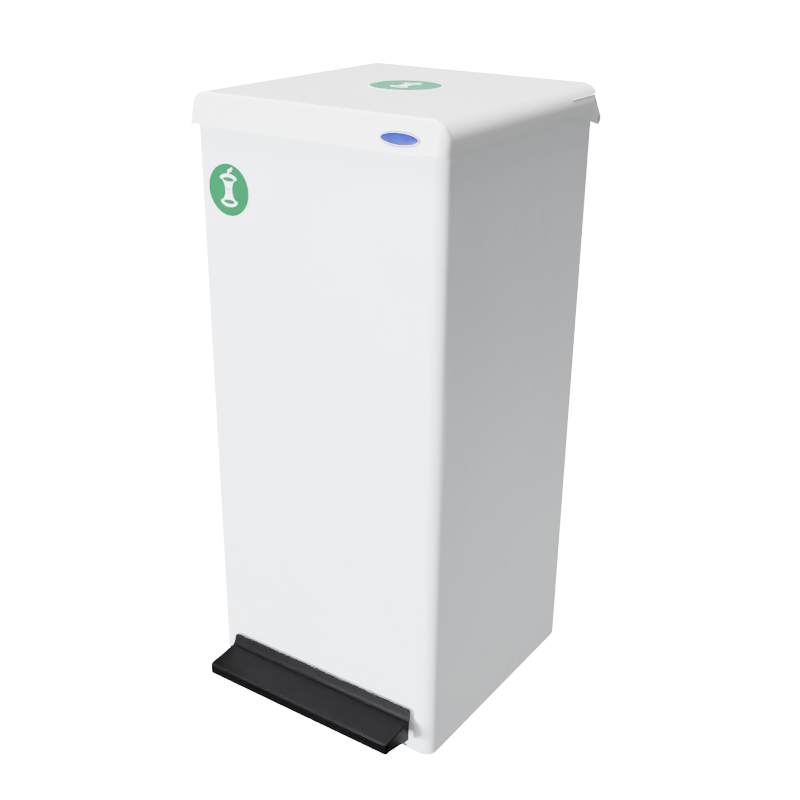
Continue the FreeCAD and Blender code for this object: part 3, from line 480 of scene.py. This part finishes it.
def make_lid():
    low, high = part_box("lid_shell")
    rod_low, rod_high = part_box("hinge_rod")
    hinge_y = (rod_low.y + rod_high.y) / 2
    drop = FLANGE_DROP
    edge = low.z + drop
    slope = LID_SLOPE
    reach = drop * slope
    inset = slope * (high.z - edge)
    corners = [
        (low.x, low.y - reach, low.z), (high.x, low.y - reach, low.z),
        (high.x, high.y + reach, low.z), (low.x, high.y + reach, low.z),
        (low.x, low.y + inset, high.z), (high.x, low.y + inset, high.z),
        (high.x, high.y - inset, high.z), (low.x, high.y - inset, high.z),
    ]
    radii = {(4, 5): FRONT_BEND, (6, 7): REAR_BEND, (5, 6): SIDE_ROLL, (4, 7): SIDE_ROLL,
             (0, 4): FRONT_CORNER, (1, 5): FRONT_CORNER, (2, 6): REAR_CORNER, (3, 7): REAR_CORNER}
    shell = formed_box("lid_sheet", corners, radii, LID_WALL)
    arch_front, arch_back = hinge_y - ARCH_START, hinge_y - ARCH_END
    flange_end, beyond = hinge_y - FLANGE_END, high.y + 3 * CLEAR
    arch = [(arch_front + (arch_back - arch_front) * i / ARCH_STEPS,
             edge + ARCH_RISE * math.sin(math.pi * i / ARCH_STEPS) ** 2) for i in range(ARCH_STEPS + 1)]
    below = [(low.y - beyond, edge), *arch, (flange_end, low.z - 0.01 * MM), (flange_end, low.z - drop),
             (low.y - beyond, low.z - drop)]
    rear = [(arch_back - MM, edge), (beyond, edge), (beyond, low.z - drop), (arch_back - MM, low.z - drop)]
    open_top = high.z - REAR_OPENING_DROP
    lean_end = flange_end + REAR_OPENING_LEAN
    opening = [(flange_end, low.z - drop), (flange_end, low.z), (lean_end, open_top - OPENING_CHAMFER),
               (lean_end + OPENING_CHAMFER, open_top), (beyond, open_top), (beyond, low.z - drop)]
    inner = high.x - REAR_OPENING_INSET
    past = high.x + CLEAR
    relief_low, relief_high = edge - drop, edge + RELIEF_RISE
    front_relief = [(low.y - past, relief_low), (low.y + 2 * LID_WALL, relief_low),
                    (low.y + 2 * LID_WALL, relief_high), (low.y - past, relief_high)]
    side_start = low.y + FRONT_CORNER - 2 * MM
    side_end = side_start + SIDE_RELIEF
    side_relief = [(side_start, relief_low), (side_end, relief_low),
                   (side_end, relief_high), (side_start, relief_high)]
    wall_inside = high.x - 2 * LID_WALL
    relief = []
    for sign in (-1, 1):
        across = sorted((sign * (high.x - RELIEF_START), sign * (high.x - RELIEF_START - FRONT_RELIEF)))
        relief.append(prism("front_relief", front_relief, along_x, *across))
        across = sorted((sign * wall_inside, sign * past))
        relief.append(prism("side_relief", side_relief, along_x, *across))
    shell = carve(
        shell,
        *relief,
        prism("below", below, along_x, -past, past),
        prism("rear", rear, along_x, -inner, inner),
        prism("open_right", opening, along_x, inner, past),
        prism("open_left", opening, along_x, -past, -inner))
    round_off(shell, 0.35 * MM, 2, 50)
    # the lid sheet wears the darker copy of the white coat, which is painted shade
    fit(settle(shell), "lid", "white_paint", "lid_shell", finish=LID_COAT_PAINTED_SHADE)
    make_lid_hem(low, edge, arch_front, slope)


def make_lid_hem(low, edge, arch_front, slope):
    """Folded hems inside the lower edges of the front and side flanges, cut short at the corners."""
    deep, thick, gap = 9 * MM, 0.9 * MM, 0.15 * MM
    front = low.y + LID_WALL + gap
    side = -low.x - LID_WALL - gap
    short = FRONT_CORNER + 6 * MM
    lean = deep * slope
    front_strip = [(front, edge + 0.4 * MM), (front + thick, edge + 0.1 * MM),
                   (front + thick + lean, edge + deep), (front + lean, edge + deep)]
    meshes = [prism("hem", front_strip, along_x, low.x + short, -low.x - short)]
    for sign in (-1, 1):
        ends = sorted((sign * side, sign * (side - thick)))
        strip = [(ends[0], edge + 0.3 * MM), (ends[1], edge + 0.3 * MM),
                 (ends[1], edge + deep), (ends[0], edge + deep)]
        meshes.append(prism("hem", strip, along_y, low.y + short, arch_front - 4 * MM))
    hem = hold("lid_hem", joined("lid_hem", meshes))
    round_off(hem, 0.3 * MM, 2)
    # the hems wear the darker copy of the white coat, which is painted shade
    fit(settle(hem), "lid", "white_paint", finish=LID_COAT_PAINTED_SHADE)


def joined(name, meshes):
    shape = bmesh.new()
    for mesh in meshes:
        shape.from_mesh(mesh)
    mesh = bpy.data.meshes.new(name)
    shape.to_mesh(mesh)
    shape.free()
    return mesh


# ---- pedal ----

PEDAL_WALL = 1.5 * MM
UPSTAND_RISE, TREAD_RISE, LIP_DEPTH, LIP_LEAN = 20 * MM, 6 * MM, 15.5 * MM, 0.8 * MM
PEDAL_FRONT_BEND, PEDAL_SIDE_BEND, PEDAL_CORNER = 2.2 * MM, 1.6 * MM, 4.0 * MM


def make_pedal():
    low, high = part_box("pedal_tread")
    top = high.z - UPSTAND_RISE
    top_back = top + TREAD_RISE
    lip = top - LIP_DEPTH
    back = high.y - 2 * PEDAL_WALL
    corners = [
        (low.x, low.y, low.z), (high.x, low.y, low.z), (high.x, back, low.z), (low.x, back, low.z),
        (low.x, low.y + LIP_LEAN, top), (high.x, low.y + LIP_LEAN, top),
        (high.x, back, top_back), (low.x, back, top_back),
    ]
    radii = {(4, 5): PEDAL_FRONT_BEND, (5, 6): PEDAL_SIDE_BEND, (4, 7): PEDAL_SIDE_BEND,
             (0, 4): PEDAL_CORNER, (1, 5): PEDAL_CORNER}
    tread = formed_box("pedal_sheet", corners, radii, PEDAL_WALL)
    clear = CLEAR
    below = [(low.y - clear, lip + 0.2 * MM), (low.y + 9 * MM, lip), (back - 2 * MM, low.z), (back, lip),
             (back + clear, lip), (back + clear, low.z - clear), (low.y - clear, low.z - clear)]
    wall_back = [(back - PEDAL_WALL, low.z - clear), (back + clear, low.z - clear),
                 (back + clear, top_back + clear), (back - PEDAL_WALL, top_back + clear)]
    half = high.x + clear
    tread = carve(tread, prism("below", below, along_x, -half, half),
                  prism("behind", wall_back, along_x, -half, half))
    upstand = hold("upstand", upstand_mesh(low, high, back - PEDAL_WALL, top_back))
    tread = hold("pedal_sheet_piece", joined("pedal", [tread.data, upstand.data]))
    for leftover in ("pedal_sheet", "upstand"):
        bpy.data.objects.remove(bpy.data.objects[leftover])
    round_off(tread, 0.35 * MM, 2, 42)
    fit(settle(tread), "pedal", "black_pedal", "pedal_tread")


def upstand_mesh(low, high, back, top):
    """Rear upstand: it sweeps up out of the tread, leans back a little and rounds off at both ends."""
    bend, lean, tip = 3.0 * MM, 3.0 * MM, 5.0 * MM
    rise = high.z - top
    sweep = [(back - bend + bend * math.sin(a), top + bend - bend * math.cos(a))
             for a in [math.radians(90 * i / 6) for i in range(7)]]
    left_end = [low.x + tip * (1 - math.cos(math.pi / 2 * i / 8)) for i in range(9)]
    stations = left_end + [low.x + high.x - x for x in reversed(left_end)]
    columns = len(stations) - 1
    points, faces = [], []
    for x in stations:
        near = min(x - low.x, high.x - x)
        short = tip - math.sqrt(max(tip ** 2 - (tip - near) ** 2, 0.0)) if near < tip else 0.0
        height = max(rise - short, bend * 1.3)
        face = [*sweep, (back + lean * height / rise, top + height)]
        behind = [(y + PEDAL_WALL, max(z, top - PEDAL_WALL)) for y, z in (face[-1], (back, top + bend))]
        loop = [*face, *behind, (back + PEDAL_WALL, top - PEDAL_WALL), (back - bend, top - PEDAL_WALL)]
        points += [(x, y, z) for y, z in loop]
    size = len(loop)
    for column in range(columns):
        for i in range(size):
            j = (i + 1) % size
            here, ahead = column * size, (column + 1) * size
            faces.append((here + i, here + j, ahead + j, ahead + i))
    faces += [tuple(range(size)), tuple(columns * size + i for i in reversed(range(size)))]
    return outward(mesh_from("upstand", points, faces))


# ---- decals and badge ----

def disc_frame(node, facing):
    """Centre of a disc's outer face and its across and up directions."""
    low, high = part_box(node)
    middle = (low + high) / 2
    radius = (high.x - low.x) / 2
    across = Vector((1, 0, 0))
    if facing == "front":
        return Vector((middle.x, low.y, middle.z)), across, Vector((0, 0, 1)), radius
    return Vector((middle.x, middle.y, high.z)), across, Vector((0, 1, 0)), radius


def arc(centre, radius, start, end, steps):
    """Points on an ellipse's arc, angles in degrees."""
    wide, tall = radius if isinstance(radius, tuple) else (radius, radius)
    turns = [math.radians(start + (end - start) * i / steps) for i in range(steps + 1)]
    return [(centre[0] + wide * math.cos(a), centre[1] + tall * math.sin(a)) for a in turns]


def organics_sign():
    """A plain symmetrical core under a stalk and one leaf, in units of the disc's radius."""
    cap = arc((0.0, 0.40), (0.40, 0.19), 0, 180, 18)
    left_waist = arc((-0.40, 0.0), (0.25, 0.40), 90, -90, 16)
    foot = arc((0.0, -0.40), (0.40, 0.22), 180, 360, 18)
    right_waist = arc((0.40, 0.0), (0.25, 0.40), -90, -270, 16)
    core = cap + left_waist[1:-1] + foot + right_waist[1:-1]
    stalk = [(-0.035, 0.57), (0.035, 0.57), (0.055, 0.76), (-0.01, 0.76)]
    leaf = arc((0.10, 0.66), 0.20, 180, 90, 10)[::-1] + arc((-0.10, 0.86), 0.20, 270, 360, 10)[::-1][1:-1]
    leaf = [(x + 0.12, y - 0.02) for x, y in leaf]
    cap_cut = arc((0.0, 0.39), (0.27, 0.085), 0, 360, 28)[:-1]
    foot_cut = arc((0.0, -0.43), (0.27, 0.085), 0, 360, 28)[:-1]
    seed_places = ((-0.055, 0.03), (0.055, 0.03), (0.0, -0.12))
    seeds = [arc(place, (0.026, 0.05), 0, 360, 12)[:-1] for place in seed_places]
    return [core, stalk, leaf], [cap_cut, foot_cut, *seeds]


def inked(name, outlines, frame_of, lift, thick, body, finish, share=1.0):
    """Flat printed shapes standing a hair off a disc."""
    centre, across, up, radius = frame_of
    out = across.cross(up)

    def place(a, b, t):
        return centre + (across * a + up * b) * radius * share + out * t
    meshes = [prism(name, outline, place, lift, lift + thick) for outline in outlines]
    return fit(hold(name, joined(name, meshes)), body, "green_decal", finish=finish)


def border(name, frame_of, share, thick, body):
    """White ring round a disc's edge."""
    centre, across, up, radius = frame_of
    out = across.cross(up)
    steps = 96
    section = ((share, 0.0), (share, thick), (share + 0.012, thick * 1.4), (1.0, thick * 1.2), (1.006, 0.0),
               (1.006, -0.25 * MM), (share, -0.05 * MM))
    points, faces = [], []
    for i in range(steps):
        turn = 2 * math.pi * i / steps
        spoke = across * math.cos(turn) + up * math.sin(turn)
        points += [centre + spoke * radius * r + out * h for r, h in section]
    size = len(section)
    for i in range(steps):
        for j in range(size):
            here, ahead = i * size, (i + 1) % steps * size
            faces.append((here + j, ahead + j, ahead + (j + 1) % size, here + (j + 1) % size))
    mesh = outward(mesh_from(name, points, faces))
    for face in mesh.polygons:
        face.use_smooth = True
    fit(hold(name, mesh), body, "green_decal", finish=WHITE_INK)


def make_decals():
    shapes, gaps = organics_sign()
    # the lid's disc takes the paler green, which is painted sheen
    for node, facing, body, share, green in (("front_decal", "front", "bin", 1.0, FINISHES["green_decal"]),
                                             ("lid_decal", "top", "lid", 0.72, SHEEN_PAINTED_FILM)):
        frame_of = disc_frame(node, facing)
        film = frame["nodes"][node].data
        film.materials.clear()
        film.materials.append(green)
        inked(f"{node}_sign", shapes, frame_of, 0.0, 0.06 * MM, body, WHITE_INK, share)
        inked(f"{node}_sign_gaps", gaps, frame_of, 0.03 * MM, 0.06 * MM, body, green, share)
        border(f"{node}_border", frame_of, 0.965, 0.06 * MM, body)


def make_badge():
    """Blank oval badge: a domed blue field inside a white line and a blue rim."""
    low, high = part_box("badge")
    lean = math.atan(LID_SLOPE)
    normal = Vector((0, -math.cos(lean), math.sin(lean)))
    across = Vector((1, 0, 0))
    up = Vector((0, math.sin(lean), math.cos(lean)))
    thick = 1.2 * MM
    centre = (low + high) / 2 - normal * thick / 2
    wide = (high.x - low.x) / 2
    tall = (high.z - low.z - thick * math.sin(lean)) / math.cos(lean) / 2

    def oval(name, profile, finish, *nodes):
        steps = 72
        points, faces = [], []
        for share, height in profile:
            for i in range(steps):
                turn = 2 * math.pi * i / steps
                shrink = (1 - share) * tall
                points.append(centre + across * math.cos(turn) * (wide - shrink)
                              + up * math.sin(turn) * (tall - shrink) + normal * height * thick)
        for ring in range(len(profile) - 1):
            for i in range(steps):
                j = (i + 1) % steps
                here, ahead = ring * steps, (ring + 1) * steps
                faces.append((here + i, here + j, ahead + j, ahead + i))
        last = (len(profile) - 1) * steps
        if nodes:
            faces.append(tuple(last + i for i in range(steps)))
            faces.append(tuple(reversed(range(steps))))
        else:
            faces += [(last + i, last + (i + 1) % steps, (i + 1) % steps, i) for i in range(steps)]
        mesh = outward(mesh_from(name, points, faces))
        for face in mesh.polygons:
            face.use_smooth = len(face.vertices) < 5
        fit(hold(name, mesh), "lid", "blue_badge", *nodes, finish=finish)
    oval("badge_dome", [(1.0, 0.0), (1.0, 0.55), (0.985, 0.72), (0.955, 0.80), (0.90, 0.84), (0.80, 0.90),
                        (0.60, 0.97), (0.40, 1.01), (0.20, 1.04)], FINISHES["blue_badge"], "badge")
    oval("badge_line", [(0.88, 0.72), (0.88, 0.92), (0.79, 0.97), (0.79, 0.80)], WHITE_ENAMEL)


# ---- repeated fittings ----

class Tree:
    """A Geometry Nodes tree with named sizes, put on a cloud of points and settled to plain mesh."""

    def __init__(self, name, sizes):
        self.tree = bpy.data.node_groups.new(name, "GeometryNodeTree")
        self.tree.interface.new_socket("Geometry", in_out="INPUT", socket_type="NodeSocketGeometry")
        self.tree.interface.new_socket("Geometry", in_out="OUTPUT", socket_type="NodeSocketGeometry")
        self.sizes = {}
        for size, value in sizes.items():
            socket = self.tree.interface.new_socket(size, in_out="INPUT", socket_type="NodeSocketFloat")
            self.sizes[socket.identifier] = value
        self.given = self.tree.nodes.new("NodeGroupInput").outputs
        self.result = self.tree.nodes.new("NodeGroupOutput").inputs

    def node(self, kind, settings=None, sockets=None, out=0):
        made = self.tree.nodes.new(kind)
        for key, value in (settings or {}).items():
            setattr(made, key, value)
        for key, value in (sockets or {}).items():
            if isinstance(value, bpy.types.NodeSocket):
                self.tree.links.new(value, made.inputs[key])
            elif isinstance(value, (list, tuple)) and value and isinstance(value[0], bpy.types.NodeSocket):
                for one in value:
                    self.tree.links.new(one, made.inputs[key])
            else:
                made.inputs[key].default_value = value
        return made.outputs[out]

    def maths(self, operation, first, second):
        return self.node("ShaderNodeMath", {"operation": operation}, {0: first, 1: second})

    def moved(self, geometry, x=0.0, y=0.0, z=0.0, turn=(0, 0, 0), scale=(1, 1, 1)):
        shift = self.node("ShaderNodeCombineXYZ", None, {"X": x, "Y": y, "Z": z})
        return self.node("GeometryNodeTransform", None, {
            "Geometry": geometry, "Translation": shift, "Rotation": turn, "Scale": scale})

    def settle(self, name, points, instance, turn, material):
        """Put the instance on each point, turned, realised and painted."""
        placed = self.node("GeometryNodeInstanceOnPoints", None, {
            "Points": self.given["Geometry"], "Instance": instance, "Rotation": turn})
        real = self.node("GeometryNodeRealizeInstances", None, {"Geometry": placed})
        painted = self.node("GeometryNodeSetMaterial", None, {"Geometry": real, "Material": material})
        self.tree.links.new(painted, self.result["Geometry"])
        cloud = hold(name, mesh_from(name, points, []))
        layout = cloud.modifiers.new("layout", "NODES")
        layout.node_group = self.tree
        for identifier, value in self.sizes.items():
            layout[identifier] = value
        return settle(cloud)


def middle_of(node):
    low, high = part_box(node)
    return (low + high) / 2


def lathed(tree, profile):
    """Turn a radius and height profile, in shares of two named sizes, round the Z axis."""
    radius, height = tree.given["Radius"], tree.given["Height"]
    rings = []
    for (wide, low), (wide_next, high) in zip(profile, profile[1:]):
        cone = tree.node("GeometryNodeMeshCone", {"fill_type": "NONE"}, {
            "Vertices": 32, "Radius Top": tree.maths("MULTIPLY", radius, wide_next),
            "Radius Bottom": tree.maths("MULTIPLY", radius, wide),
            "Depth": tree.maths("MULTIPLY", height, high - low)})
        rings.append(tree.moved(cone, z=tree.maths("MULTIPLY", height, low)))
    merged = tree.node("GeometryNodeJoinGeometry", None, {"Geometry": rings})
    return tree.node("GeometryNodeMergeByDistance", None, {"Geometry": merged, "Distance": 0.005 * MM})


def domed(thing):
    """Point faces outwards and smooth all but the steep edges."""
    shape = bmesh.new()
    shape.from_mesh(thing.data)
    bmesh.ops.remove_doubles(shape, verts=shape.verts, dist=3e-6)
    bmesh.ops.holes_fill(shape, edges=[e for e in shape.edges if e.is_boundary], sides=0)
    bmesh.ops.recalc_face_normals(shape, faces=shape.faces)
    for face in shape.faces:
        face.smooth = len(face.verts) < 5
    for edge in shape.edges:
        edge.smooth = edge.calc_face_angle(0.0) < math.radians(40)
    shape.to_mesh(thing.data)
    shape.free()
    return thing


def make_rivets():
    """Domed rivet heads down both rear returns, each with its shallow drive mark."""
    nodes = [f"back_rivet_{side}_{level}" for side in SIDES for level in (1, 2, 3)]
    low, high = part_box(nodes[0])
    tree = Tree("rivet heads", {"Radius": (high.x - low.x) / 2, "Height": high.y - low.y})
    head = lathed(tree, [(1.0, 0.0), (1.0, 0.22), (0.93, 0.52), (0.78, 0.78), (0.56, 0.94), (0.34, 1.0),
                         (0.30, 0.86), (0.02, 0.84)])
    points = []
    for node in nodes:
        low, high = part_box(node)
        points.append(((low.x + high.x) / 2, low.y, (low.z + high.z) / 2))
    heads = tree.settle("rear_rivets", points, head, (math.radians(-90), 0, 0), FINISHES["white_paint"])
    fit(domed(heads), "bin", "white_paint", *nodes)


def make_feet():
    """Low rubber feet with a moulded rim and a recess for the fixing."""
    nodes = [f"foot_{end}_{side}" for end in ("front", "back") for side in SIDES]
    low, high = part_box(nodes[0])
    tree = Tree("rubber feet", {"Radius": (high.x - low.x) / 2, "Height": high.z - low.z})
    foot = lathed(tree, [(1.0, 1.0), (1.0, 0.35), (0.97, 0.12), (0.92, 0.0), (0.62, 0.0), (0.58, 0.35),
                         (0.40, 0.35), (0.36, 0.7), (0.02, 0.7)])
    points = [(middle_of(node).x, middle_of(node).y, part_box(node)[0].z) for node in nodes]
    feet = tree.settle("rubber_feet", points, foot, (0, 0, 0), FINISHES["rubber"])
    fit(domed(feet), "bin", "rubber", *nodes)


def make_clips():
    """Push-on clips: a dished washer with teeth that grip the pin."""
    for name, nodes, body in (("axle_clips", [f"axle_clip_{side}" for side in SIDES], "bin"),
                              ("rod_clips", ["rod_clip_low", "rod_clip_high"], "rod")):
        low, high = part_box(nodes[0])
        tree = Tree(name.replace("_", " "), {"Radius": (high.z - low.z) / 2, "Height": high.x - low.x})
        dish = lathed(tree, [(1.0, 0.0), (1.0, 0.5), (0.93, 0.62), (0.80, 0.55), (0.60, 1.0), (0.53, 0.95),
                             (0.53, 0.45), (0.76, 0.05)])
        points = [(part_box(node)[0].x, middle_of(node).y, middle_of(node).z) for node in nodes]
        clips = tree.settle(name, points, dish, (0, math.radians(90), 0), FINISHES["zinc_steel"])
        fit(domed(clips), body, "zinc_steel", *nodes)


# ---- the whole bin ----

SOFT_EDGES = {
    "body_shell": 0.4, "back_panel": 0.3, "top_rim": 0.5, "base_pan": 0.4, "liner_shelf": 0.4,
    "inner_liner": 1.0, "lid_crank": 0.5, "pedal_lever": 0.7, "pedal_sleeve": 0.4, "lever_rest_pad": 0.8,
}
PAIRED_SOFT_EDGES = {
    "hinge_arm": 0.5, "lid_bumper": 0.8, "hinge_bracket": 0.4, "pedal_arm": 0.6, "axle_bracket": 0.5,
    "axle_washer": 0.3,
}


def make_bin():
    for node, width in SOFT_EDGES.items():
        softened(node, width * MM)
    for name, width in PAIRED_SOFT_EDGES.items():
        for side in SIDES:
            softened(f"{name}_{side}", width * MM)
    make_lid()
    make_pedal()
    make_decals()
    make_badge()
    make_rivets()
    make_feet()
    make_clips()
    for node in ("hinge_rod", "pedal_axle", "lift_rod"):
        mesh = frame["nodes"][node].data
        mesh.materials.clear()
        mesh.materials.append(FINISHES["zinc_steel"])


def make_floor():
    """A wide round floor level with the undersides of the feet, hidden from the bin's bounced light."""
    rim, rings = 60, 6
    points = [(0.0, 0.0, 0.0)]
    faces = []
    for ring in range(1, rings + 1):
        reach = 40.0 * (ring / rings) ** 2
        points += [(reach * math.cos(2 * math.pi * i / rim), reach * math.sin(2 * math.pi * i / rim), 0.0)
                   for i in range(rim)]
    faces += [(0, 1 + i, 1 + (i + 1) % rim) for i in range(rim)]
    for ring in range(rings - 1):
        start, ahead = 1 + ring * rim, 1 + (ring + 1) * rim
        faces += [(start + i, ahead + i, ahead + (i + 1) % rim, start + (i + 1) % rim) for i in range(rim)]
    floor = hold("floor", mesh_from("floor", points, faces))
    floor.data.materials.append(studio_floor())
    floor.visible_diffuse = False
    floor.visible_glossy = False


set_camera()
set_lights()
make_bin()
make_floor()
